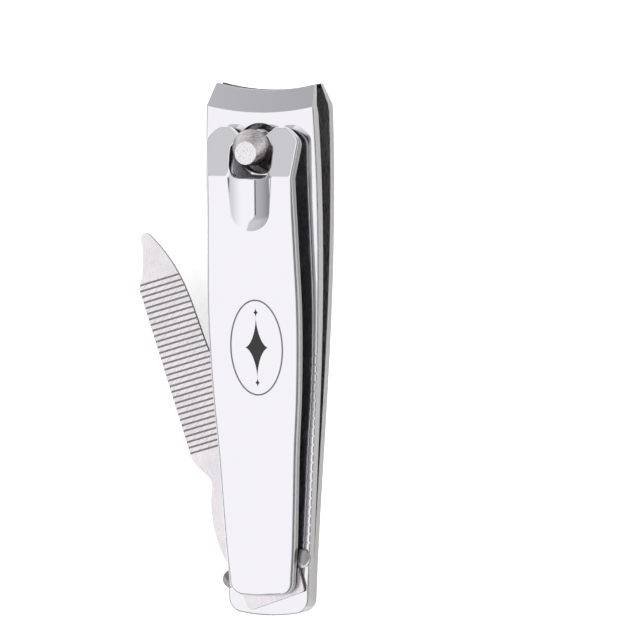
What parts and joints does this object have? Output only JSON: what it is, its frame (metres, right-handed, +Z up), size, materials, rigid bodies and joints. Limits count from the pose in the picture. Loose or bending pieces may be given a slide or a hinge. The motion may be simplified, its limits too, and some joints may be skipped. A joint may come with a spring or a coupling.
{
  "type": "nail clipper",
  "caption": "Large lever nail clipper: two sprung blades with curved jaws on a post, a forked folding lever stowed flat and a swing-out file at the tail rivet.",
  "frame": {"origin": "centre of the flat face of the post's foot, on the table the clipper lies on", "axes": "+Z up along the post, +Y towards the jaws, +X across the clipper; the blades lean up towards the jaws by 2.4 degrees because they rest on the foot and on the tail"},
  "size_m": [0.0293, 0.0811, 0.0151],
  "materials": {
    "polished_chrome": "mirror polished outside, satin on the inner faces and cut edges",
    "lever_chrome": "mirror polished",
    "turned_steel": "turned, with a bright facet on top",
    "file_steel": "satin, faintly warm",
    "rivet_steel": "satin"
  },
  "bodies": {
    "lower_body": {"lower_blade": "polished_chrome", "tail_rivet": "rivet_steel"},
    "upper_body": {"upper_blade": "polished_chrome"},
    "post_body": {"post_pin": "turned_steel"},
    "lever_body": {"lever": "lever_chrome"},
    "file_body": {"nail_file": "file_steel"}
  },
  "joints": [
    {"name": "jaw_close", "type": "hinge", "parent": "lower_body", "child": "upper_body", "pos_m": [0, -0.06404, 0.00215], "axis": [-1, 0, 0], "range_deg": [0, 1.2], "stiffness_Nm_per_rad": 30},
    {"name": "post_turn", "type": "hinge", "parent": "lower_body", "child": "post_body", "pos_m": [0, 0, 0.008], "axis": [0, 0, 1], "continuous": true},
    {"name": "lever_lift", "type": "hinge", "parent": "post_body", "child": "lever_body", "pos_m": [0, 0.00136, 0.01053], "axis": [-1, 0, 0], "range_deg": [0, 165]},
    {"name": "file_swing", "type": "hinge", "parent": "upper_body", "child": "file_body", "pos_m": [0, -0.06404, 0.00215], "axis": [0, -0.0422, 0.9991], "range_deg": [-16.5, 163.5]}
  ]
}
